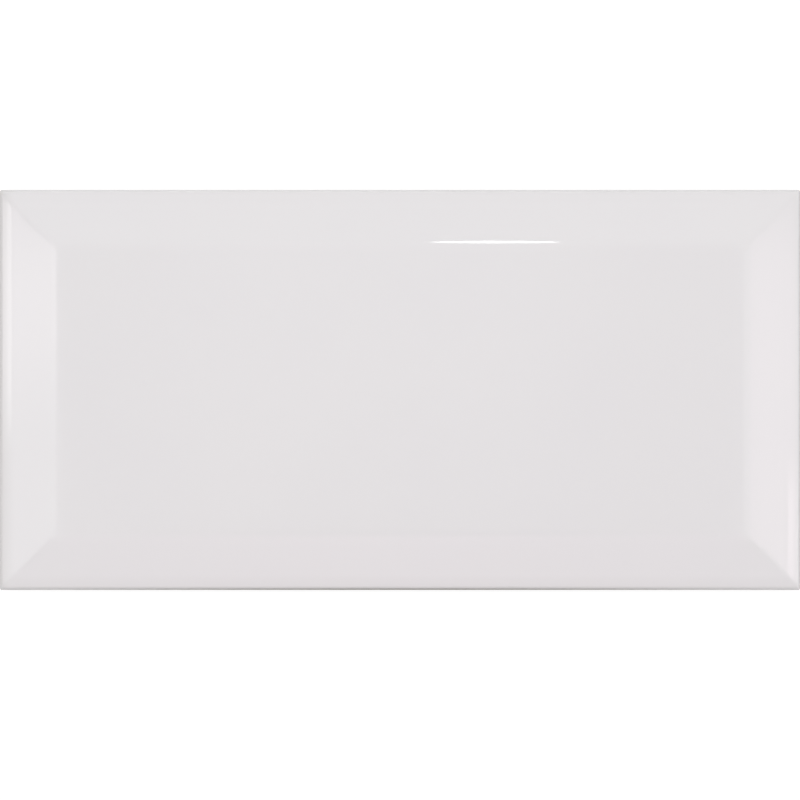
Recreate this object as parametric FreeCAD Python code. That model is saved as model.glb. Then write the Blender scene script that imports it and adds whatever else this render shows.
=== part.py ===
"""Bevelled subway wall tile: a pressed, glazed and fired slab, lying on its back with the glazed face up.

The origin is the centre of the back, +X runs along the length, +Y along the width and +Z out of the glazed face.
Lengths are millimetres.
"""

import FreeCAD, Part
import math
import os

from FreeCAD import Vector

# Overall size of the tile.
TILE_LENGTH = 200.0
TILE_WIDTH = 100.0
TILE_THICKNESS = 7.5

# Pressed face: a flat field, framed by four bevels that fall to the rim.
BEVEL_WIDTH = 13.75
BEVEL_DROP = 2.9
ARRIS_RADIUS = 12.0
RIM_RADIUS = 1.2

# Sides: an upright land under the rim, then a relief that leans in to the back.
RELIEF_HEIGHT = 2.0
RELIEF_INSET = 0.6

# Back: shallow keys that the tile adhesive grips, with a lattice of lands left between them.
KEY_COLUMNS = 8
KEY_ROWS = 4
KEY_DEPTH = 0.7
KEY_LAND = 3.0
KEY_MARGIN = 7.0
KEY_WALL_LEAN = 0.7
KEY_CORNER_RADIUS = 2.0

# How far a cutting or crossing shape runs past what it has to cover.
OVERRUN = 1.0


def line(start, end):
    """Straight edge between two points."""
    return Part.LineSegment(start, end).toShape()


def rounded_corner(before, corner, after, radius):
    """Points of the arc that rounds a corner: where it starts, its middle and where it ends."""
    back = (before - corner).normalize()
    on = (after - corner).normalize()
    half_angle = back.getAngle(on) / 2
    reach = radius / math.tan(half_angle)
    to_middle = radius / math.sin(half_angle) - radius
    bisector = (back + on).normalize()
    return corner + back * reach, corner + bisector * to_middle, corner + on * reach


def section(span):
    """Closed section across the tile in the XZ plane, for a tile that is span wide in X.

    From the back it goes up the relief and the land, round the rim, up the bevel, round the arris and over the field.
    """
    half = span / 2
    heel = Vector(half - RELIEF_INSET, 0, 0)
    land_foot = Vector(half, 0, RELIEF_HEIGHT)
    rim = Vector(half, 0, TILE_THICKNESS - BEVEL_DROP)
    arris = Vector(half - BEVEL_WIDTH, 0, TILE_THICKNESS)
    field_middle = Vector(0, 0, TILE_THICKNESS)

    rim_arc = rounded_corner(land_foot, rim, arris, RIM_RADIUS)
    arris_arc = rounded_corner(rim, arris, field_middle, ARRIS_RADIUS)
    flank = [
        line(heel, land_foot),
        line(land_foot, rim_arc[0]),
        Part.Arc(*rim_arc).toShape(),
        line(rim_arc[2], arris_arc[0]),
        Part.Arc(*arris_arc).toShape(),
    ]
    other_flank = [edge.mirror(Vector(), Vector(1, 0, 0)) for edge in flank]
    field_end = arris_arc[2]
    field = line(field_end, Vector(-field_end.x, 0, field_end.z))
    back = line(Vector(-heel.x, 0, 0), heel)
    outline = Part.Wire(Part.__sortEdges__([back, *flank, field, *other_flank]))
    return Part.Face(outline)


def pressed_slab():
    """Slab with its bevels: the section along the length crossed with the section along the width.

    Each section is drawn out past the other, and what the two share has mitred hips at its four corners.
    """
    along = section(TILE_LENGTH)
    along.translate(Vector(0, -TILE_WIDTH / 2 - OVERRUN, 0))
    along = along.extrude(Vector(0, TILE_WIDTH + 2 * OVERRUN, 0))

    across = section(TILE_WIDTH)
    across.rotate(Vector(), Vector(0, 0, 1), 90)
    across.translate(Vector(-TILE_LENGTH / 2 - OVERRUN, 0, 0))
    across = across.extrude(Vector(TILE_LENGTH + 2 * OVERRUN, 0, 0))
    return along.common(across)


def rounded_rectangle(size_x, size_y, radius, height):
    """Closed rectangle with rounded corners, centred on the Z axis at a height."""
    half_x = size_x / 2
    half_y = size_y / 2
    corners = [Vector(x * half_x, y * half_y, height) for x, y in ((-1, -1), (1, -1), (1, 1), (-1, 1))]
    arcs = [
        rounded_corner(corners[i - 1], corners[i], corners[(i + 1) % 4], radius)
        for i in range(4)
    ]
    edges = []
    for i, arc in enumerate(arcs):
        edges.append(Part.Arc(*arc).toShape())
        edges.append(line(arc[2], arcs[(i + 1) % 4][0]))
    return Part.Wire(edges)


def key_recess(size_x, size_y):
    """One adhesive key, as the shape to cut away: a shallow recess whose walls lean in towards its floor.

    It starts below the back, at the size that its leaning walls have there.
    """
    flare = KEY_WALL_LEAN * OVERRUN / KEY_DEPTH
    mouth = rounded_rectangle(
        size_x + 2 * flare, size_y + 2 * flare, KEY_CORNER_RADIUS + flare, -OVERRUN
    )
    floor = rounded_rectangle(
        size_x - 2 * KEY_WALL_LEAN,
        size_y - 2 * KEY_WALL_LEAN,
        KEY_CORNER_RADIUS - KEY_WALL_LEAN,
        KEY_DEPTH,
    )
    return Part.makeLoft([mouth, floor], True, True)


def key_pattern():
    """All the keys of the back, spread evenly between its margins."""
    size_x = (TILE_LENGTH - 2 * KEY_MARGIN - (KEY_COLUMNS - 1) * KEY_LAND) / KEY_COLUMNS
    size_y = (TILE_WIDTH - 2 * KEY_MARGIN - (KEY_ROWS - 1) * KEY_LAND) / KEY_ROWS
    one_key = key_recess(size_x, size_y)
    keys = []
    for column in range(KEY_COLUMNS):
        for row in range(KEY_ROWS):
            key = one_key.copy()
            key.translate(
                Vector(
                    (column - (KEY_COLUMNS - 1) / 2) * (size_x + KEY_LAND),
                    (row - (KEY_ROWS - 1) / 2) * (size_y + KEY_LAND),
                    0,
                )
            )
            keys.append(key)
    return keys


def bevelled_wall_tile():
    """The tile as fired: the pressed slab with the adhesive keys in its back."""
    return pressed_slab().cut(key_pattern()).Solids[0]


os.makedirs("parts", exist_ok=True)
bevelled_wall_tile().exportStep("parts/bevelled_wall_tile.step")
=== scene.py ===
"""Bevelled wall tile: a pressed, fired slab with a white gloss glaze, lying face up under diffusion silks.

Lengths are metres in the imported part's frame: +X along the tile, +Y across it and +Z out of its glazed face.
"""

import logging
import math
from dataclasses import dataclass, field
from enum import IntEnum

import bpy
import numpy as np
from bpy.types import Material, Node, NodeSocket, NodeTree
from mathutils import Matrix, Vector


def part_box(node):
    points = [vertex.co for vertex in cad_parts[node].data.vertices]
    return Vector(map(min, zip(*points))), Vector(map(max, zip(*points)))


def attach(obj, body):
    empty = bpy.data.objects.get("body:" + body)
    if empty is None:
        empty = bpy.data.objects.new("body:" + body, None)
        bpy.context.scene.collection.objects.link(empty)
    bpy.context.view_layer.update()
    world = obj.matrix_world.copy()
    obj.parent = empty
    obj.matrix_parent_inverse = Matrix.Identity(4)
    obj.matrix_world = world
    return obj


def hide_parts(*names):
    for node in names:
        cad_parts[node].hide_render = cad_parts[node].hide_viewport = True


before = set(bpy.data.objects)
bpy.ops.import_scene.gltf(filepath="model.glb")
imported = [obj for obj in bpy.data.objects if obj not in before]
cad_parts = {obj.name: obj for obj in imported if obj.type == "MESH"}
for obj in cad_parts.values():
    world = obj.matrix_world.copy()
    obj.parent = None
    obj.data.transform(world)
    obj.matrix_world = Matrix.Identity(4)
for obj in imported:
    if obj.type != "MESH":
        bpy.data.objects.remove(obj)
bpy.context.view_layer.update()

TILE_NODE = "bevelled_wall_tile"
MM = 0.001

# Point attributes that the finishes read.
# How grey the glaze is drawn: a thin coat on the sides, and painted shade round the rim.
THIN_GLAZE_AND_RIM_SHADE = "thin_glaze_and_rim_shade"
KEY_LAND = "key_land"
SILK_GLOW = "silk_glow"

# Sockets of a Mix node that is set to colours.
MIX_FACTOR, MIX_A, MIX_B, MIX_RESULT = 0, 6, 7, 2

# The sRGB curve: a straight start up to a knee, and a power from there.
SRGB_KNEE = 0.04045
SRGB_SLOPE = 12.92
SRGB_OFFSET = 0.055
SRGB_POWER = 2.4

# Light of the silks' lamps, and the studio that they hang in.
WHITE = "#FFFFFF"
ROSE = "#FFECF5"
PALE_ROSE = "#FFEFF6"
STUDIO_HALF = 0.9
STUDIO_HEIGHT = 0.6
WALL_FADE = 0.4

LOG = logging.getLogger(TILE_NODE)


class Coat(IntEnum):
    """Material slots of the tile."""

    GLAZE = 0
    BISCUIT = 1


class Side(IntEnum):
    """Sides of the tile, in the order that values for each side come in."""

    LEFT = 0
    RIGHT = 1
    BOTTOM = 2
    TOP = 3


# The outline is read as turns, one for each side.
SIDES = len(Side)
SIDE_ANGLE = 2 * math.pi / SIDES


def linear(hex_code: str) -> tuple[float, float, float, float]:
    """Turns an sRGB hex colour into the linear colour that shaders take.

    Args:
        hex_code: Colour as "#RRGGBB".

    Returns:
        Linear red, green, blue and an alpha of 1.
    """
    srgb = np.frombuffer(bytes.fromhex(hex_code[1:]), np.uint8) / 255
    curved = ((srgb + SRGB_OFFSET) / (1 + SRGB_OFFSET)) ** SRGB_POWER
    rgb = np.where(srgb <= SRGB_KNEE, srgb / SRGB_SLOPE, curved)
    return (*rgb.tolist(), 1.0)


def add_node(
    tree: NodeTree, kind: str, inputs: dict[str | int, object] | None = None, **settings: object
) -> Node:
    """Adds a node with its settings, its constants and its links.

    Args:
        tree: Node tree that gets the node.
        kind: Blender's name of the node's type.
        inputs: For an input's name or number, the output that feeds it or the value that it holds.
        **settings: Properties of the node.

    Returns:
        The new node.
    """
    node = tree.nodes.new(kind)
    for name, value in settings.items():
        setattr(node, name, value)
    for socket, value in (inputs or {}).items():
        if isinstance(value, NodeSocket):
            tree.links.new(value, node.inputs[socket])
        else:
            node.inputs[socket].default_value = value
    return node


def new_material(name: str) -> tuple[Material, NodeTree]:
    """Makes a material with an empty node tree.

    Args:
        name: Name of the material.

    Returns:
        The material and its node tree.
    """
    material = bpy.data.materials.new(name)
    material.use_nodes = True
    material.node_tree.nodes.clear()
    return material, material.node_tree


def add_noise(tree: NodeTree, place: NodeSocket, width: float, detail: float) -> NodeSocket:
    """Adds noise with blots a width across and octaves of finer detail, and gives its output."""
    inputs = {"Vector": place, "Scale": 1 / width, "Detail": detail}
    return add_node(tree, "ShaderNodeTexNoise", inputs).outputs[0]


def add_math(tree: NodeTree, operation: str, first: object, second: object) -> NodeSocket:
    """Adds an operation on two numbers, or on outputs that give them, and gives its output."""
    return add_node(tree, "ShaderNodeMath", {0: first, 1: second}, operation=operation).outputs[0]


def add_blend(tree: NodeTree, share: NodeSocket, under: object, over: object) -> NodeSocket:
    """Adds a blend from one colour, or output, to another by a share, and gives its output."""
    inputs = {MIX_FACTOR: share, MIX_A: under, MIX_B: over}
    return add_node(tree, "ShaderNodeMix", inputs, data_type="RGBA").outputs[MIX_RESULT]


def add_surface(
    tree: NodeTree, colour: NodeSocket, relief: NodeSocket, height: float, roughness: float, ior: float
) -> None:
    """Adds the shader that a finish ends in, with its fine relief as a bump, and the output.

    Args:
        tree: Node tree that gets the nodes.
        colour: Colour of the finish.
        relief: Pattern of its fine relief, from 0 to 1.
        height: Height of that relief.
        roughness: Roughness of its gloss.
        ior: Index of refraction of its gloss.
    """
    bump = add_node(tree, "ShaderNodeBump", {"Strength": 1.0, "Distance": height, "Height": relief})
    shader = add_node(
        tree,
        "ShaderNodeBsdfPrincipled",
        {"Base Color": colour, "Roughness": roughness, "IOR": ior, "Normal": bump.outputs[0]},
    )
    add_node(tree, "ShaderNodeOutputMaterial", {"Surface": shader.outputs[0]})


def smoothstep(low: float, high: float, value: np.ndarray) -> np.ndarray:
    """Rises from 0 at low to 1 at high as 3 t squared less 2 t cubed, where t is the share of the way.

    Args:
        low: Value at which the rise starts.
        high: Value at which it ends, which may be below low.
        value: Values to look up.

    Returns:
        The rise at each value.
    """
    share = np.clip((value - low) / (high - low), 0, 1)
    return share * share * (3 - 2 * share)


def smooth_min(first: np.ndarray, second: np.ndarray, blend: float) -> np.ndarray:
    """The lower of two heights, with the crossing eased by a parabola where they differ by less than blend.

    Args:
        first: First height at each point.
        second: Second height at each point.
        blend: Difference at which the easing starts.

    Returns:
        The eased lower height.
    """
    near = np.maximum(blend - np.abs(first - second), 0)
    return np.minimum(first, second) - near * near / (4 * blend)


def box_depth(x: np.ndarray, y: np.ndarray, half_x: float, half_y: float, radius: float) -> np.ndarray:
    """How far points lie inside a rectangle with rounded corners: the radius less the distance from its core.

    Args:
        x: Places along X, from the rectangle's centre.
        y: Places along Y, from the rectangle's centre.
        half_x: Half of its size along X.
        half_y: Half of its size along Y.
        radius: Radius of its corners.

    Returns:
        Depth in from the outline, negative outside it.
    """
    over_x = np.abs(x) - (half_x - radius)
    over_y = np.abs(y) - (half_y - radius)
    outside = np.hypot(np.maximum(over_x, 0), np.maximum(over_y, 0))
    return radius - outside - np.minimum(np.maximum(over_x, over_y), 0)


def spaced(start: float, end: float, step: float) -> np.ndarray:
    """Even places from start up to, and without, end, about a step apart."""
    return np.linspace(start, end, max(1, round((end - start) / step)), endpoint=False)


def mirrored(depths: np.ndarray, half: float) -> np.ndarray:
    """Rising places at these depths in from both ends of a span, the last depth being its middle."""
    near = depths - half
    return np.concatenate([near, -near[-2::-1]])


@dataclass
class SheetGrid:
    """A grid of points over an oblong, whose outer line follows the rounded corners.

    Attributes:
        columns: Rising places of the grid's lines along X.
        rows: Rising places of its lines along Y.
        radius: Radius of the oblong's corners.
        first: Number of the grid's first point in the whole mesh.
    """

    columns: np.ndarray
    rows: np.ndarray
    radius: float
    first: int

    def places(self) -> tuple[np.ndarray, np.ndarray]:
        """Works out where the grid's points lie.

        In each corner square, of the corner's radius, a point at shares a and b of the square moves to
        a times the root of 1 - b b / 2, and b times the root of 1 - a a / 2, which bends the square to a
        quarter disc.

        Returns:
            X and Y of the points, one row for each line along Y.
        """
        x, y = np.meshgrid(self.columns, self.rows)
        share_x = np.maximum(np.abs(x) - self.columns[-1] + self.radius, 0) / self.radius
        share_y = np.maximum(np.abs(y) - self.rows[-1] + self.radius, 0) / self.radius
        bent_x = x - np.sign(x) * self.radius * share_x * (1 - np.sqrt(1 - share_y ** 2 / 2))
        bent_y = y - np.sign(y) * self.radius * share_y * (1 - np.sqrt(1 - share_x ** 2 / 2))
        return bent_x, bent_y

    def numbers(self) -> np.ndarray:
        """Numbers of the points, laid out as the grid."""
        shape = (len(self.rows), len(self.columns))
        return self.first + np.arange(math.prod(shape)).reshape(shape)

    def faces(self) -> np.ndarray:
        """Squares between the lines, anticlockwise seen from +Z."""
        numbers = self.numbers()
        corners = (numbers[:-1, :-1], numbers[:-1, 1:], numbers[1:, 1:], numbers[1:, :-1])
        return np.stack(corners, axis=-1).reshape(-1, 4)

    @staticmethod
    def around(laid_out: np.ndarray) -> np.ndarray:
        """Reads values laid out as a grid along its outer line, anticlockwise from the corner at -X, -Y."""
        sides = (laid_out[0, :-1], laid_out[:-1, -1], laid_out[-1, :0:-1], laid_out[:0:-1, 0])
        return np.concatenate(sides)

    def turns(self) -> np.ndarray:
        """Place of each point of the outer line, counted in sides from the corner at -X, -Y."""
        share_x = (self.columns[:-1] - self.columns[0]) / np.ptp(self.columns)
        share_y = (self.rows[:-1] - self.rows[0]) / np.ptp(self.rows)
        return np.concatenate([share_x, 1 + share_y, 2 + share_x, 3 + share_y])


def band_faces(rings: np.ndarray) -> np.ndarray:
    """Squares between rings of equal length, which face outwards where the rings run down a side.

    Args:
        rings: Point numbers, one row for each ring, anticlockwise seen from +Z.

    Returns:
        Four point numbers for each square, band by band.
    """
    onward = np.roll(rings, -1, axis=1)
    corners = (rings[:-1], rings[1:], onward[1:], onward[:-1])
    return np.stack(corners, axis=-1).reshape(-1, 4)


def zip_faces(
    outer: np.ndarray, outer_turns: np.ndarray, inner: np.ndarray, inner_turns: np.ndarray
) -> np.ndarray:
    """Triangles between two rings with different counts of points, taken in the order of the points' turns.

    Each step along one ring makes a triangle with the point that the other ring has reached by then.

    Args:
        outer: Point numbers of the outer ring.
        outer_turns: Places of its points, from 0 to under 4.
        inner: Point numbers of the inner ring.
        inner_turns: Places of its points, from 0 to under 4.

    Returns:
        Three point numbers for each triangle.
    """
    outer_ends = np.append(outer_turns[1:], SIDES)
    inner_ends = np.append(inner_turns[1:], SIDES)
    reached_inner = np.searchsorted(inner_ends, outer_ends, side="left") % len(inner)
    reached_outer = np.searchsorted(outer_ends, inner_ends, side="right") % len(outer)
    along_outer = np.stack([outer, inner[reached_inner], np.roll(outer, -1)], axis=-1)
    along_inner = np.stack([outer[reached_outer], inner, np.roll(inner, -1)], axis=-1)
    return np.concatenate([along_outer, along_inner])


@dataclass(frozen=True)
class WhiteGlossGlaze:
    """Opaque white gloss glaze, sprayed on and fired to a glass.

    Zircon in the glass hides the clay, so the colour lies under a clear, mirror-smooth skin. The skin has a
    faint ripple from the melt. The colour greys and warms towards the edges: a thin coat on the sides, greyer
    bands in from the face's sides, and painted shade round the rim's outermost turn. Each detail is a count of
    octaves of finer noise.
    """

    name: str = "opaque_white_gloss_glaze_fired"
    white: str = "#EAE9E9"
    cloud_white: str = "#E8E7E8"
    # Grey of the thin coat, also used for the painted shade round the rim.
    thin_and_shaded_white: str = "#B5B3AC"
    roughness: float = 0.035
    ior: float = 1.54
    cloud_width: float = 30 * MM
    cloud_detail: float = 2.0
    peel_width: float = 6 * MM
    peel_detail: float = 1.0
    peel_height: float = 0.002 * MM

    def material(self) -> Material:
        """Makes the glaze's shader."""
        material, tree = new_material(self.name)
        place = add_node(tree, "ShaderNodeTexCoord").outputs["Object"]

        # Faint clouds keep the white from looking like flat paint.
        cloud = add_noise(tree, place, self.cloud_width, self.cloud_detail)
        full_coat = add_blend(tree, cloud, linear(self.white), linear(self.cloud_white))

        # A greyer colour along the edges: the thin coat on the sides, and painted shade round the rim's
        # outermost turn.
        thin = add_node(tree, "ShaderNodeAttribute", attribute_name=THIN_GLAZE_AND_RIM_SHADE).outputs["Fac"]
        colour = add_blend(tree, thin, full_coat, linear(self.thin_and_shaded_white))

        # Shallow dimples make what the gloss mirrors waver a little.
        peel = add_noise(tree, place, self.peel_width, self.peel_detail)
        add_surface(tree, colour, peel, self.peel_height, self.roughness, self.ior)
        return material


@dataclass(frozen=True)
class PressedBiscuit:
    """Pale clay biscuit, pressed from powder and fired bare.

    The fired powder is chalky and dead matt, with a fine grain, small dark specks and soft clouds of colour,
    and the lands that lay on the kiln's rollers keep a paler film of wash. A speck fades in from speck_blur
    times its radius to its radius over speck_blur. The wash starts and is full at the noise in wash_range.
    Each detail is a count of octaves of finer noise.
    """

    name: str = "pale_clay_biscuit_pressed"
    clay: str = "#D8CBB6"
    cloud_clay: str = "#CBBBA2"
    speck: str = "#A08A6C"
    wash: str = "#E6E0D4"
    roughness: float = 0.92
    ior: float = 1.45
    cloud_width: float = 14 * MM
    cloud_detail: float = 4.0
    grain_width: float = 0.5 * MM
    grain_detail: float = 3.0
    grain_height: float = 0.06 * MM
    speck_spacing: float = 2.2 * MM
    speck_radius: float = 0.16 * MM
    speck_blur: float = 2.0
    wash_width: float = 5 * MM
    wash_detail: float = 5.0
    wash_range: tuple[float, float] = (0.42, 0.62)
    wash_cover: float = 0.8

    def material(self) -> Material:
        """Makes the biscuit's shader."""
        material, tree = new_material(self.name)
        place = add_node(tree, "ShaderNodeTexCoord").outputs["Object"]

        # Soft clouds of two clays, as the powder filled the press.
        cloud = add_noise(tree, place, self.cloud_width, self.cloud_detail)
        clouded = add_blend(tree, cloud, linear(self.clay), linear(self.cloud_clay))

        # Small dark specks, one to a cell, with soft edges.
        cell_inputs = {"Vector": place, "Scale": 1 / self.speck_spacing, "Randomness": 1.0}
        cells = add_node(tree, "ShaderNodeTexVoronoi", cell_inputs)
        reach = self.speck_radius / self.speck_spacing
        specks = add_node(
            tree,
            "ShaderNodeMapRange",
            {
                "Value": cells.outputs["Distance"],
                "From Min": reach * self.speck_blur,
                "From Max": reach / self.speck_blur,
            },
        )
        specked = add_blend(tree, specks.outputs[0], clouded, linear(self.speck))

        # Worn patches of pale wash, on the lands only.
        land = add_node(tree, "ShaderNodeAttribute", attribute_name=KEY_LAND).outputs["Fac"]
        patches = add_noise(tree, place, self.wash_width, self.wash_detail)
        low, high = self.wash_range
        worn = add_node(
            tree,
            "ShaderNodeMapRange",
            {"Value": patches, "From Min": low, "From Max": high, "To Max": self.wash_cover},
        )
        film = add_math(tree, "MULTIPLY", land, worn.outputs[0])
        colour = add_blend(tree, film, specked, linear(self.wash))

        # The powder's fine grain makes it dead matt.
        grain = add_noise(tree, place, self.grain_width, self.grain_detail)
        add_surface(tree, colour, grain, self.grain_height, self.roughness, self.ior)
        return material


@dataclass(frozen=True)
class SkinLines:
    """How the lines of the tile's skin are spaced: close where it turns, wide where it is flat.

    Attributes:
        rim_count: Lines round the rim's arc.
        bead_reach: Reach of the close lines past the bead, in its widths.
        bead_step: Step over the bead.
        bevel_step: Step over the bevels.
        arris_reach: Reach of the close lines to either side of the arris.
        arris_step: Step over the arris.
        field_step: Step over the field.
        glazed_shares: Rings on the way from the rim to the glaze's lip.
        lip_count: Rings round the lip.
        land_shares: Rings on the way from the lip to the relief.
        relief_shares: Rings on the way from the relief's top to the back.
        foot_count: Rings round the foot.
        wall_step: Step over a key's walls.
        corner_step: Step over the round of its corners.
        floor_step: Step over its floor.
    """

    rim_count: int = 10
    bead_reach: float = 2.5
    bead_step: float = 0.35 * MM
    bevel_step: float = 0.8 * MM
    arris_reach: float = 3 * MM
    arris_step: float = 0.25 * MM
    field_step: float = 2.5 * MM
    glazed_shares: tuple[float, ...] = (0.25, 0.5, 0.75, 1.0)
    lip_count: int = 4
    land_shares: tuple[float, ...] = (0.1, 0.5, 0.9, 1.0)
    relief_shares: tuple[float, ...] = (0.1, 0.4, 0.7)
    foot_count: int = 7
    wall_step: float = 0.12 * MM
    corner_step: float = 0.4 * MM
    floor_step: float = 4 * MM

    @property
    def glazed_bands(self) -> int:
        """Bands between rings that the glaze covers, from the rim to the end of its lip."""
        return len(self.glazed_shares) + self.lip_count


@dataclass
class BevelledTile:
    """The tile: one closed skin of a glazed face, sides that the glaze runs on to, and a keyed bare back.

    The face is a height over the outline: a field and four bevels, eased where they cross. The sides are a
    profile carried round the outline. The back is a flat with rows of shallow keys. Values for each side
    come in the order of Side.

    Attributes:
        length: Size along X.
        width: Size along Y.
        thickness: Size along Z.
        bevel_width: Width of the bevels.
        bevel_drop: Their fall to the rim.
        arris_radius: Radius of the turn from field to bevel.
        hip_radius: Easing of the bevels over their hips.
        rim_radius: Radius of the turn from bevel to side.
        corner_radius: Radius of the outline's corners.
        relief_height: Height up to which the sides lean in.
        relief_inset: How far they lean in.
        foot_radius: Reach of the round on to the back.
        key_columns: Keys along X.
        key_rows: Keys along Y.
        key_depth: Their depth.
        key_land: Width of the lands between them.
        key_margin: Width of the margin round them.
        key_lean: Width that their walls lean over.
        key_corner: Radius of their corners.
        glaze_thickness: Step from the glaze to the bare side.
        glaze_edge: Height at which the glaze ends.
        glaze_edge_wander: How far its edge wavers.
        edge_waves: Counts of its waves to the round, from the first up to the second.
        edge_wave_least: Least share of its full height that a wave has.
        bead_place: Depth in from the outline of the glaze's bead.
        bead_width: Half width of the bead.
        bead_height: Its height.
        grey_reach: Depth in from a side of the wider bands of greyer glaze.
        grey_sides: How grey each band is, from 0 to 1.
        rim_shade_reaches: Depth in from each side of the painted shade round the rim's outermost turn.
        rim_shade_sides: How dark that painted shade is on each side, from 0 to 1.
        rim_shade_power: Power that makes the ends of that steep.
        rim_shade_length: Reach of the painted shade to either side of the bottom's middle.
        thin_below: How thin the glaze lies on the sides, from 0 to 1.
        ripple_height: Height of the melt's ripple.
        ripple_widths: Its shortest and longest waves.
        ripple_waves: Number of its waves.
        seed: Seed of the random draws.
        lines: Spacing of the skin's lines.
        skin: The tile's object, once built.
    """

    length: float
    width: float
    thickness: float
    bevel_width: float = 13.75 * MM
    bevel_drop: float = 2.9 * MM
    arris_radius: float = 12 * MM
    hip_radius: float = 5 * MM
    rim_radius: float = 1.2 * MM
    corner_radius: float = 0.5 * MM
    relief_height: float = 2.0 * MM
    relief_inset: float = 0.6 * MM
    foot_radius: float = 0.4 * MM
    key_columns: int = 8
    key_rows: int = 4
    key_depth: float = 0.7 * MM
    key_land: float = 3.0 * MM
    key_margin: float = 7.0 * MM
    key_lean: float = 0.7 * MM
    key_corner: float = 2.0 * MM
    glaze_thickness: float = 0.1 * MM
    glaze_edge: float = 2.75 * MM
    glaze_edge_wander: float = 0.3 * MM
    edge_waves: tuple[int, int] = (5, 140)
    edge_wave_least: float = 0.3
    bead_place: float = 3.4 * MM
    bead_width: float = 1.0 * MM
    bead_height: float = 0.035 * MM
    grey_reach: float = 2.4 * MM
    grey_sides: tuple[float, float, float, float] = (0.24, 0.057, 0.11, 0.028)
    rim_shade_reaches: tuple[float, float, float, float] = (0.3 * MM, 0.35 * MM, 0.5 * MM, 0.35 * MM)
    rim_shade_sides: tuple[float, float, float, float] = (0.42, 0.66, 1.0, 0.0)
    rim_shade_power: int = 8
    rim_shade_length: float = 75 * MM
    thin_below: float = 0.25
    ripple_height: float = 0.03 * MM
    ripple_widths: tuple[float, float] = (16 * MM, 50 * MM)
    ripple_waves: int = 48
    seed: int = 11
    lines: SkinLines = SkinLines()
    skin: bpy.types.Object | None = field(default=None, init=False)

    @classmethod
    def from_frame(cls) -> "BevelledTile":
        """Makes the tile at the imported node's size."""
        lowest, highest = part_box(TILE_NODE)
        return cls(*(high - low for low, high in zip(lowest, highest)))

    @property
    def bevel_slope(self) -> float:
        """Fall of a bevel for each unit of its width."""
        return self.bevel_drop / self.bevel_width

    def face_lines(self, half: float) -> np.ndarray:
        """Places of the face's lines along one axis: even round the rim's arc and close over the arris.

        Args:
            half: Half of the tile's size along the axis.

        Returns:
            Rising places from -half to half.
        """
        lines = self.lines
        tilt = np.linspace(0, math.pi / 2 - math.atan(self.bevel_slope), lines.rim_count)
        rim = self.rim_radius * (1 - np.cos(tilt))
        bead_end = self.bead_place + lines.bead_reach * self.bead_width
        arris_start = self.bevel_width - lines.arris_reach
        arris_end = self.bevel_width + lines.arris_reach
        stretches = (
            spaced(rim[-1], bead_end, lines.bead_step),
            spaced(bead_end, arris_start, lines.bevel_step),
            spaced(arris_start, arris_end, lines.arris_step),
            spaced(arris_end, half, lines.field_step),
        )
        return mirrored(np.concatenate([rim[:-1], *stretches, [half]]), half)

    def key_size(self, span: float, count: int) -> float:
        """Size of a key's mouth along one axis, from what the margins and lands leave."""
        return (span - 2 * self.key_margin - (count - 1) * self.key_land) / count

    def back_lines(self, half: float, span: float, count: int) -> np.ndarray:
        """Places of the back's lines along one axis: close at the keys' walls and corners, wide elsewhere.

        Args:
            half: Half of the flat back's size along the axis.
            span: The tile's size along the axis.
            count: Number of keys along the axis.

        Returns:
            Rising places from -half to half.
        """
        lines = self.lines
        size = self.key_size(span, count)
        turned = self.key_lean + self.key_corner
        slope = spaced(0, self.key_lean, lines.wall_step)
        corner = spaced(self.key_lean, turned, lines.corner_step)
        wall = np.concatenate([slope, corner, [turned]])
        floor = spaced(turned, size - turned, lines.floor_step)[1:]
        one_key = np.concatenate([wall, floor, size - wall[::-1]])
        starts = (np.arange(count) - count / 2) * (size + self.key_land) + self.key_land / 2
        keys = (starts[:, None] + one_key).ravel()
        lands = starts[1:] - self.key_land / 2
        return np.sort(np.concatenate([keys, lands, [-half, half]]))

    def ripple(self, x: np.ndarray, y: np.ndarray) -> np.ndarray:
        """Unevenness of the melt: the mean of seeded plane waves, brought between -1 and 0.

        Args:
            x: Places along X.
            y: Places along Y.

        Returns:
            The ripple at each place.
        """
        draw = np.random.default_rng(self.seed)
        heading = draw.uniform(0, 2 * math.pi, self.ripple_waves)
        pitch = 2 * math.pi / draw.uniform(*self.ripple_widths, self.ripple_waves)
        phase = draw.uniform(0, 2 * math.pi, self.ripple_waves)
        along = x[..., None] * np.cos(heading) + y[..., None] * np.sin(heading)
        waves = np.cos(along * pitch + phase).mean(axis=-1)
        return (waves - waves.max()) / np.ptp(waves)

    def wander(self, turns: np.ndarray) -> np.ndarray:
        """How the glaze's edge wavers: the sum of seeded cosines with whole counts of waves to the round.

        Args:
            turns: Places round the outline, from 0 to under 4.

        Returns:
            Values from -1 to 1.
        """
        draw = np.random.default_rng(self.seed)
        counts = np.arange(*self.edge_waves)
        phase = draw.uniform(0, 2 * math.pi, len(counts))
        height = draw.uniform(self.edge_wave_least, 1, len(counts)) / np.sqrt(counts)
        angle = turns[:, None] * counts * SIDE_ANGLE
        waves = (height * np.cos(angle + phase)).sum(axis=-1)
        return waves / np.abs(waves).max()

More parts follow.
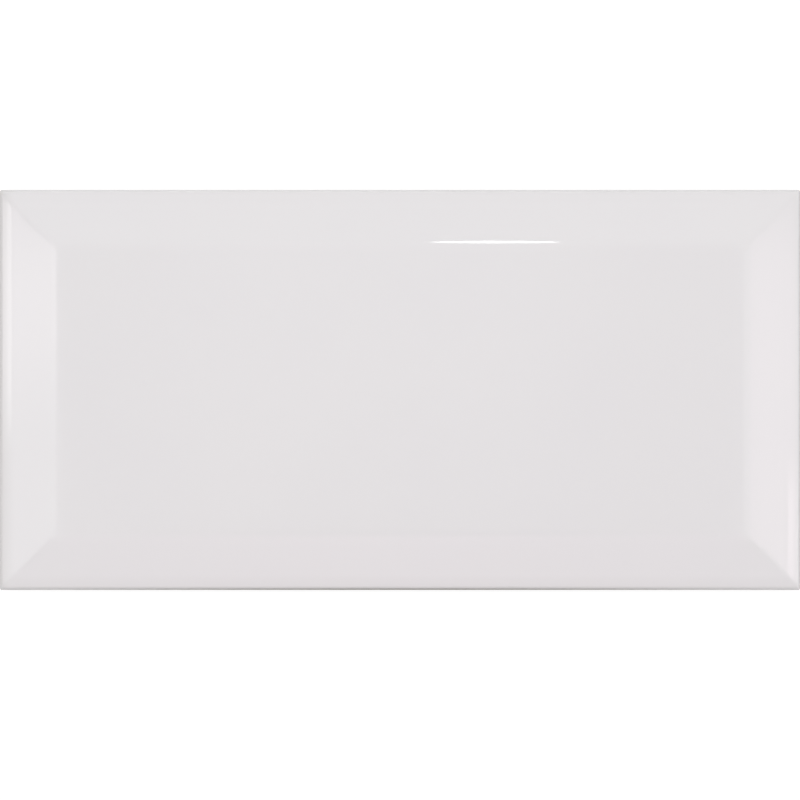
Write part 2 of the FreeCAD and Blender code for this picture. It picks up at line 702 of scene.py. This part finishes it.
    def face_height(self, x: np.ndarray, y: np.ndarray) -> np.ndarray:
        """Height of the glazed face.

        Each bevel rises from the rim by its slope, two bevels are eased over their hip, and the lower of
        them and the field is eased over the arris. An easing of r times the slope squared over 2 has the
        radius r at the arris. Along the outline the rim's arc falls away from the bevel's line, the
        glaze stands up in a low bead just inside it, and the melt's ripple lies over all.

        Args:
            x: Places along X.
            y: Places along Y.

        Returns:
            Height above the back.
        """
        slope = self.bevel_slope
        rim_height = self.thickness - self.bevel_drop
        side = rim_height + slope * (self.length / 2 - np.abs(x))
        end = rim_height + slope * (self.width / 2 - np.abs(y))
        bevels = smooth_min(side, end, self.hip_radius * slope ** 2)
        height = smooth_min(bevels, np.full_like(x, self.thickness), self.arris_radius * slope ** 2 / 2)
        depth = box_depth(x, y, self.length / 2, self.width / 2, self.corner_radius)
        lean = math.atan(slope)
        arc_end = self.rim_radius * (1 - math.sin(lean))
        inside = np.clip(depth, 0, arc_end)
        chord = np.sqrt(self.rim_radius ** 2 - (self.rim_radius - inside) ** 2)
        height += chord - self.rim_radius * math.cos(lean) + slope * (arc_end - inside)
        bead = np.exp(-((depth - self.bead_place) / self.bead_width) ** 2)
        return height + self.bead_height * bead + self.ripple_height * self.ripple(x, y)

    def flat_back(self) -> tuple[float, float]:
        """Half sizes of the flat back, inside the foot's round."""
        inset = self.relief_inset + 2 * self.foot_radius
        return self.length / 2 - inset, self.width / 2 - inset

    def thinness_and_rim_shade(self, x: np.ndarray, y: np.ndarray) -> np.ndarray:
        """How grey the glaze is drawn on the face: the greatest of a wide and a narrow bell in from each side.

        The wide bells grey the coat, most on the left and the bottom. The narrow ones, with flat tops and
        steep ends, are painted shade round the outermost turn of the rim, none at the top. At the bottom the
        shade is darkest in the middle, by one more bell along the side.

        Args:
            x: Places along X.
            y: Places along Y.

        Returns:
            0 for the full white, up to 1 for the greyest.
        """
        half_x, half_y = self.length / 2, self.width / 2
        depths = np.stack([half_x + x, half_x - x, half_y + y, half_y - y], axis=-1)
        # Wider bands of greyer glaze in from each side, most on the left and the bottom.
        sprayed = np.array(self.grey_sides) * np.exp(-(depths / self.grey_reach) ** 2)
        reaches = np.array(self.rim_shade_reaches)
        # Painted shade round the rim's outermost turn, darkest in the middle of the bottom.
        drawn = np.array(self.rim_shade_sides) * np.exp(-(depths / reaches) ** self.rim_shade_power)
        drawn[..., Side.BOTTOM] *= np.exp(-(x / self.rim_shade_length) ** 2)
        return np.maximum(sprayed, drawn).max(axis=-1)

    def side_rings(self, x: np.ndarray, y: np.ndarray, z: np.ndarray, turns: np.ndarray) -> np.ndarray:
        """Carries the side's profile round the outline, drawn in by shares of the half sizes.

        The glaze runs down to a wavering edge and ends in a quarter round of its own thickness. Below it
        the bare land goes on to the relief, which leans in to the foot, a parabola on to the back.

        Args:
            x: Outline's places along X.
            y: Outline's places along Y.
            z: Height of the rim's end at each.
            turns: Places round the outline, from 0 to under 4.

        Returns:
            Points by ring and place, from just below the rim to the back.
        """
        lines = self.lines
        skin = self.glaze_thickness
        edge = self.glaze_edge + self.glaze_edge_wander * self.wander(turns)
        lip = edge + skin
        relief = self.relief_inset - skin
        quarter = np.linspace(0, math.pi / 2, lines.lip_count + 1)[1:]
        foot = np.linspace(0, 1, lines.foot_count)
        drop = (1 - foot) ** 2 * self.foot_radius
        lean = self.foot_radius * relief / self.relief_height
        draw_in = skin + relief + foot ** 2 * self.foot_radius - (1 - foot) ** 2 * lean
        glazed = [(z + (lip - z) * share, 0.0) for share in lines.glazed_shares]
        rounded = [(lip - skin * math.sin(turn), skin * (1 - math.cos(turn))) for turn in quarter]
        bare = [(edge + (self.relief_height - edge) * share, skin) for share in lines.land_shares]
        leaning = [
            (np.full_like(z, self.relief_height * (1 - share)), skin + relief * share)
            for share in lines.relief_shares
        ]
        footed = [(np.full_like(z, height), inset) for height, inset in zip(drop, draw_in)]
        rows = glazed + rounded + bare + leaning + footed
        heights = np.stack([row[0] for row in rows])
        insets = np.array([row[1] for row in rows])[:, None]
        ring_x = x * (1 - insets / (self.length / 2))
        ring_y = y * (1 - insets / (self.width / 2))
        return np.stack([ring_x, ring_y, heights], axis=-1)

    def key_profile(self, x: np.ndarray, y: np.ndarray) -> np.ndarray:
        """How deep the back lies in a key: a smooth step over the lean of the wall, in from the key's mouth.

        Args:
            x: Places along X.
            y: Places along Y.

        Returns:
            0 on the lands, 1 on a key's floor.
        """
        local = []
        for place, span, count in ((x, self.length, self.key_columns), (y, self.width, self.key_rows)):
            pitch = self.key_size(span, count) + self.key_land
            last = (count - 1) / 2
            nearest = np.clip(np.floor(place / pitch) + 0.5, -last, last)
            local.append(place - nearest * pitch)
        half_x = self.key_size(self.length, self.key_columns) / 2
        half_y = self.key_size(self.width, self.key_rows) / 2
        depth = box_depth(*local, half_x, half_y, self.key_corner)
        return smoothstep(0, self.key_lean, depth)

    def build(self) -> bpy.types.Object:
        """Joins face, sides and back to one closed mesh, with the finishes' attributes.

        Returns:
            The tile's skin.
        """
        half_x, half_y = self.length / 2, self.width / 2
        face = SheetGrid(self.face_lines(half_x), self.face_lines(half_y), self.corner_radius, first=0)
        x, y = face.places()
        z = self.face_height(x, y)
        rim = [face.around(values) for values in (x, y, z)]
        sides = self.side_rings(*rim, face.turns())
        ring_count, ring_length = sides.shape[:2]
        side_first = x.size
        side_numbers = side_first + np.arange(ring_count * ring_length).reshape(ring_count, ring_length)
        rings = np.vstack([face.around(face.numbers()), side_numbers])

        flat_x, flat_y = self.flat_back()
        back = SheetGrid(
            self.back_lines(flat_x, self.length, self.key_columns),
            self.back_lines(flat_y, self.width, self.key_rows),
            self.corner_radius,
            first=side_first + side_numbers.size,
        )
        back_x, back_y = back.places()
        keyed = self.key_profile(back_x, back_y)
        points = np.concatenate(
            [
                np.stack([x, y, z], axis=-1).reshape(-1, 3),
                sides.reshape(-1, 3),
                np.stack([back_x, back_y, self.key_depth * keyed], axis=-1).reshape(-1, 3),
            ]
        )
        side_faces = band_faces(rings)
        hem = zip_faces(rings[-1], face.turns(), back.around(back.numbers()), back.turns())
        squares = np.concatenate([face.faces(), side_faces, back.faces()[:, ::-1]])
        mesh = bpy.data.meshes.new("glazed_tile")
        mesh.from_pydata(points.tolist(), [], squares.tolist() + hem.tolist())

        glazed = len(face.faces()) + self.lines.glazed_bands * ring_length
        coats = np.full(len(squares) + len(hem), Coat.BISCUIT, dtype=np.int32)
        coats[:glazed] = Coat.GLAZE
        mesh.polygons.foreach_set("material_index", coats)
        mesh.polygons.foreach_set("use_smooth", np.ones(len(coats), dtype=bool))

        # Greyer glaze: a thin coat on the sides, and on the face greyer bands and painted shade round the rim.
        thin = np.full(len(points), self.thin_below)
        thin[:x.size] = self.thinness_and_rim_shade(x, y).ravel()
        land = np.zeros(len(points))
        land[-back_x.size:] = 1 - keyed.ravel()
        for name, values in ((THIN_GLAZE_AND_RIM_SHADE, thin), (KEY_LAND, land)):
            mesh.attributes.new(name, "FLOAT", "POINT").data.foreach_set("value", values)
        mesh.update()
        mesh.validate()
        self.skin = bpy.data.objects.new("glazed_tile", mesh)
        bpy.context.collection.objects.link(self.skin)
        LOG.info("glazed_tile: %d points, %d faces", len(points), len(coats))
        return self.skin

    def dress(self, glaze: WhiteGlossGlaze, biscuit: PressedBiscuit) -> None:
        """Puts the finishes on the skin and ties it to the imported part.

        Args:
            glaze: Finish of the face and the sides' upper part.
            biscuit: Finish of the sides' lower part and the back.
        """
        for finish in (glaze, biscuit):
            self.skin.data.materials.append(finish.material())
        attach(self.skin, "root")
        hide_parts(TILE_NODE)


@dataclass(frozen=True)
class GlowZone:
    """A stretch of a silk that a lamp behind it lights, fading out at its edges.

    Attributes:
        along: Where it starts and ends along the silk's first axis.
        across: Where it starts and ends along the silk's second axis.
        fades: Widths over which it fades at its ends, along and across.
        glow: Light that it adds, where 1 is white.
        tint: Colour of that light.
    """

    along: tuple[float, float]
    across: tuple[float, float]
    fades: tuple[float, float]
    glow: float
    tint: str = WHITE

    def light(self, along: np.ndarray, across: np.ndarray) -> np.ndarray:
        """Glow at each place: the product of a smooth step in from each edge.

        Args:
            along: Places along the silk's first axis.
            across: Places along its second axis.

        Returns:
            Red, green and blue at each place.
        """
        share = np.ones_like(along)
        for place, (low, high), fade in zip((along, across), (self.along, self.across), self.fades):
            share = share * smoothstep(low, low + fade, place) * smoothstep(high, high - fade, place)
        return self.glow * share[..., None] * np.array(linear(self.tint)[:3])


@dataclass(frozen=True)
class Silk:
    """A stretched silk with lamps behind it, which adds its glow to the surround that shows through.

    Attributes:
        name: Name of the object.
        origin: Where its two axes start.
        first_axis: Direction of the first axis.
        second_axis: Direction of the second axis, so that the silk faces along the two axes' cross product.
        along: Where it starts and ends along the first axis.
        across: Where it starts and ends along the second axis.
        cell: Size of its grid's cells.
        zones: What glows on it.
        mirrored: Whether gloss shows it.
    """

    name: str
    origin: tuple[float, float, float]
    first_axis: tuple[float, float, float]
    second_axis: tuple[float, float, float]
    along: tuple[float, float]
    across: tuple[float, float]
    cell: float
    zones: tuple[GlowZone, ...]
    mirrored: bool = True

    def hang(self) -> None:
        """Hangs the silk: a flat grid, whose points lie at their places along its axes and carry the glow."""
        lines = [np.append(spaced(*reach, self.cell), reach[1]) for reach in (self.along, self.across)]
        grid = SheetGrid(*lines, radius=self.cell, first=0)
        along, across = np.meshgrid(*lines)
        glow = sum(zone.light(along, across) for zone in self.zones)
        points = (
            np.array(self.origin)
            + along[..., None] * np.array(self.first_axis)
            + across[..., None] * np.array(self.second_axis)
        )
        mesh = bpy.data.meshes.new(self.name)
        mesh.from_pydata(points.reshape(-1, 3).tolist(), [], grid.faces().tolist())
        colours = np.concatenate([glow.reshape(-1, 3), np.ones((along.size, 1))], axis=-1)
        mesh.attributes.new(SILK_GLOW, "FLOAT_COLOR", "POINT").data.foreach_set("color", colours.ravel())
        mesh.materials.append(self.material())
        silk = bpy.data.objects.new(self.name, mesh)
        silk.visible_camera = False
        silk.visible_shadow = False
        silk.visible_glossy = self.mirrored
        bpy.context.collection.objects.link(silk)

    def material(self) -> Material:
        """Makes the silk's shader: its glow, added to what shows through."""
        material, tree = new_material("white_diffusion_silk_lit")
        lit = add_node(tree, "ShaderNodeAttribute", attribute_name=SILK_GLOW)
        light = add_node(tree, "ShaderNodeEmission", {"Color": lit.outputs["Color"], "Strength": 1.0})
        clear = add_node(tree, "ShaderNodeBsdfTransparent")
        shader = add_node(tree, "ShaderNodeAddShader", {0: light.outputs[0], 1: clear.outputs[0]})
        add_node(tree, "ShaderNodeOutputMaterial", {"Surface": shader.outputs[0]})
        material.cycles.emission_sampling = "NONE"
        return material


def wall_silk(
    name: str, origin: tuple[float, float, float], first_axis: tuple[float, float, float], glow: float
) -> Silk:
    """Makes a silk that stands as a wall of the studio, fading out to its two ends.

    Args:
        name: Name of the object.
        origin: Middle of its foot.
        first_axis: Direction of its foot.
        glow: Light at its middle, where 1 is white.

    Returns:
        The silk.
    """
    span = (-STUDIO_HALF, STUDIO_HALF)
    past_edges = (-WALL_FADE, STUDIO_HEIGHT + WALL_FADE)
    return Silk(
        name=name,
        origin=origin,
        first_axis=first_axis,
        second_axis=(0.0, 0.0, 1.0),
        along=span,
        across=(0.0, STUDIO_HEIGHT),
        cell=0.06,
        zones=(GlowZone(span, past_edges, (WALL_FADE, WALL_FADE), glow),),
        mirrored=False,
    )


@dataclass(frozen=True)
class Flag:
    """A black felt card that stands on the floor and keeps light off the side of the tile that faces it.

    Attributes:
        name: Name of the object.
        place: Where the middle of its foot stands.
        width: Size along X.
        height: Size along Z.
        felt: Colour of the felt.
    """

    name: str
    place: tuple[float, float]
    width: float
    height: float
    felt: str = "#1C1C1C"

    def stand(self) -> None:
        """Stands the card up, where neither the camera nor gloss shows it."""
        x, y = self.place
        left, right = x - self.width / 2, x + self.width / 2
        corners = [(left, y, 0.0), (right, y, 0.0), (right, y, self.height), (left, y, self.height)]
        mesh = bpy.data.meshes.new(self.name)
        mesh.from_pydata(corners, [], [(0, 1, 2, 3)])
        material, tree = new_material("black_felt_matt")
        felt = add_node(tree, "ShaderNodeBsdfDiffuse", {"Color": linear(self.felt)})
        add_node(tree, "ShaderNodeOutputMaterial", {"Surface": felt.outputs[0]})
        mesh.materials.append(material)
        card = bpy.data.objects.new(self.name, mesh)
        card.visible_camera = False
        card.visible_glossy = False
        bpy.context.collection.objects.link(card)


@dataclass
class Studio:
    """The studio: a pale floor, lit silks, a flag, a small lamp, a white surround and the camera.

    Attributes:
        floor_size: Size of the square floor.
        floor_gap: Its distance below the tile's back.
        floor_colour: Colour of its paper.
        floor_lift: Light that brings it to white where it is seen.
        silks: The silks.
        flag: The flag.
        lamp_place: Where the small lamp hangs.
        lamp_width: Its width.
        lamp_radiance: Its radiance, where 1 is white.
        ambient: Strength of the surround as a light.
        lens: Focal length of the camera, in mm.
        sensor: Width of its sensor, in mm.
        view_width: Width of its view at the rim's plane.
        view_drop: How far in front of the tile's middle it stands.
        rim_plane: Height of the rim's plane.
    """

    floor_size: float = 6.0
    floor_gap: float = 0.05 * MM
    floor_colour: str = "#848484"
    floor_lift: float = 0.86
    silks: tuple[Silk, ...] = (
        Silk(
            name="silk_overhead",
            origin=(0.0, 0.0, STUDIO_HEIGHT),
            first_axis=(1.0, 0.0, 0.0),
            second_axis=(0.0, -1.0, 0.0),
            along=(-STUDIO_HALF, STUDIO_HALF),
            across=(-STUDIO_HALF, STUDIO_HALF),
            cell=0.015,
            zones=(
                # What the field mirrors.
                GlowZone((-0.18, 0.16), (-0.30, 0.17), (0.12, 0.12), glow=0.38),
                # What the left bevel mirrors: all of it, its upper part, and a streak in the bead there.
                GlowZone((-0.60, -0.175), (-0.14, 0.26), (0.04, 0.08), glow=1.14),
                GlowZone((-0.60, -0.175), (-0.18, 0.03), (0.08, 0.08), glow=0.80, tint=ROSE),
                GlowZone((-0.575, -0.50), (-0.18, 0.03), (0.025, 0.025), glow=1.70),
                # What the right bevel mirrors: its inner part, its outer part, and a streak low in the bead.
                GlowZone((0.175, 0.44), (-0.14, 0.26), (0.04, 0.08), glow=0.72),
                GlowZone((0.41, 0.66), (-0.14, 0.26), (0.05, 0.08), glow=1.34, tint=ROSE),
                GlowZone((0.50, 0.59), (0.03, 0.14), (0.03, 0.03), glow=1.44, tint=ROSE),
                # What the bottom bevel mirrors, darker to its ends.
                GlowZone((-0.36, 0.36), (0.08, 0.62), (0.36, 0.22), glow=1.78, tint=PALE_ROSE),
            ),
        ),
        wall_silk("silk_behind", (0.0, STUDIO_HALF, 0.0), (1.0, 0.0, 0.0), glow=0.95),
        wall_silk("silk_right", (STUDIO_HALF, 0.0, 0.0), (0.0, -1.0, 0.0), glow=0.4),
        Silk(
            name="silk_below",
            origin=(0.0, 0.0, -0.4),
            first_axis=(1.0, 0.0, 0.0),
            second_axis=(0.0, 1.0, 0.0),
            along=(-0.6, 0.6),
            across=(-0.6, 0.6),
            cell=0.06,
            zones=(GlowZone((-0.6, 0.6), (-0.6, 0.6), (0.3, 0.3), glow=0.5),),
            mirrored=False,
        ),
    )
    flag: Flag = Flag("front_flag", place=(0.0, -0.13), width=0.14, height=0.11)
    lamp_place: tuple[float, float, float] = (0.051, 0.258, 0.595)
    lamp_width: float = 68 * MM
    lamp_radiance: float = 9.0
    ambient: float = 0.604
    lens: float = 100.0
    sensor: float = 36.0
    view_width: float = 0.2
    view_drop: float = 2.5 * MM
    rim_plane: float = 3.6 * MM

    def lay_floor(self, opening: tuple[float, float]) -> None:
        """Lays the floor, lifted to white where it is seen, with the tile's shadow kept.

        It is a frame of four boards round an opening that the tile covers, and that light from below comes
        through. A camera below sees through the boards.

        Args:
            opening: Half sizes of the opening along X and Y.
        """
        half = self.floor_size / 2
        turn = np.array([(-1, -1), (1, -1), (1, 1), (-1, 1)])
        count = len(turn)
        corners = np.concatenate([half * turn, np.array(opening) * turn])
        points = np.column_stack([corners, np.full(len(corners), -self.floor_gap)])
        start = np.arange(count)
        onward = (start + 1) % count
        boards = np.stack([start, onward, onward + count, start + count], axis=-1)
        mesh = bpy.data.meshes.new("studio_floor")
        mesh.from_pydata(points.tolist(), [], boards.tolist())
        material, tree = new_material("matt_pale_paper")
        lift = add_math(tree, "MULTIPLY", self.seen_rays(tree), self.floor_lift)
        paper = add_node(tree, "ShaderNodeBsdfDiffuse", {"Color": linear(self.floor_colour)})
        glow = add_node(tree, "ShaderNodeEmission", {"Strength": lift})
        lit = add_node(tree, "ShaderNodeAddShader", {0: paper.outputs[0], 1: glow.outputs[0]})
        clear = add_node(tree, "ShaderNodeBsdfTransparent")
        behind = add_node(tree, "ShaderNodeNewGeometry").outputs["Backfacing"]
        straight = add_node(tree, "ShaderNodeLightPath").outputs["Is Camera Ray"]
        under = add_math(tree, "MULTIPLY", behind, straight)
        shader = add_node(tree, "ShaderNodeMixShader", {0: under, 1: lit.outputs[0], 2: clear.outputs[0]})
        add_node(tree, "ShaderNodeOutputMaterial", {"Surface": shader.outputs[0]})
        mesh.materials.append(material)
        floor = bpy.data.objects.new("studio_floor", mesh)
        bpy.context.collection.objects.link(floor)

    @staticmethod
    def seen_rays(tree: NodeTree) -> NodeSocket:
        """Adds nodes that give 1 for rays that show the surround, straight, mirrored or through glass.

        Args:
            tree: Node tree that gets the nodes.

        Returns:
            The output with the 1 or 0.
        """
        path = add_node(tree, "ShaderNodeLightPath").outputs
        mirrored_rays = add_math(tree, "MAXIMUM", path["Is Glossy Ray"], path["Is Transmission Ray"])
        return add_math(tree, "MAXIMUM", path["Is Camera Ray"], mirrored_rays)

    def set_lamp(self) -> None:
        """Sets the small round lamp, whose power is its radiance times its area times pi."""
        light = bpy.data.lights.new("round_lamp", "AREA")
        light.shape = "DISK"
        light.size = self.lamp_width
        area = math.pi * (self.lamp_width / 2) ** 2
        light.energy = self.lamp_radiance * area * math.pi
        lamp = bpy.data.objects.new("round_lamp", light)
        lamp.location = self.lamp_place
        lamp.visible_camera = False
        bpy.context.collection.objects.link(lamp)

    def set_surround(self) -> None:
        """Makes the surround white where it is seen or mirrored, and a plain soft light elsewhere."""
        world = bpy.data.worlds.new("studio_surround")
        world.use_nodes = True
        tree = world.node_tree
        tree.nodes.clear()
        soft = add_node(tree, "ShaderNodeBackground", {"Color": linear(WHITE), "Strength": self.ambient})
        white = add_node(tree, "ShaderNodeBackground", {"Color": linear(WHITE), "Strength": 1.0})
        shader = add_node(
            tree, "ShaderNodeMixShader", {0: self.seen_rays(tree), 1: soft.outputs[0], 2: white.outputs[0]}
        )
        add_node(tree, "ShaderNodeOutputWorld", {"Surface": shader.outputs[0]})
        bpy.context.scene.world = world

    def set_camera(self) -> None:
        """Sets the camera straight above the tile, as far off as makes the view's width fill the frame."""
        camera_data = bpy.data.cameras.new("camera")
        camera_data.lens = self.lens
        camera_data.sensor_width = self.sensor
        camera = bpy.data.objects.new("camera", camera_data)
        distance = self.view_width * self.lens / self.sensor
        camera.location = (0, -self.view_drop, self.rim_plane + distance)
        bpy.context.collection.objects.link(camera)
        bpy.context.scene.camera = camera

    def build(self, opening: tuple[float, float]) -> None:
        """Sets up the whole studio and plain colours.

        Args:
            opening: Half sizes of the floor's opening under the tile.
        """
        self.lay_floor(opening)
        for silk in self.silks:
            silk.hang()
        self.flag.stand()
        self.set_lamp()
        self.set_surround()
        self.set_camera()
        bpy.context.scene.view_settings.view_transform = "Standard"
        LOG.info("studio: floor, %d silks, flag, lamp, surround and camera", len(self.silks))


def main() -> None:
    """Builds the tile and the studio."""
    logging.basicConfig(level=logging.INFO, format="%(name)s: %(message)s")
    tile = BevelledTile.from_frame()
    tile.build()
    tile.dress(WhiteGlossGlaze(), PressedBiscuit())
    Studio().build(tile.flat_back())


if __name__ == "__main__":
    main()
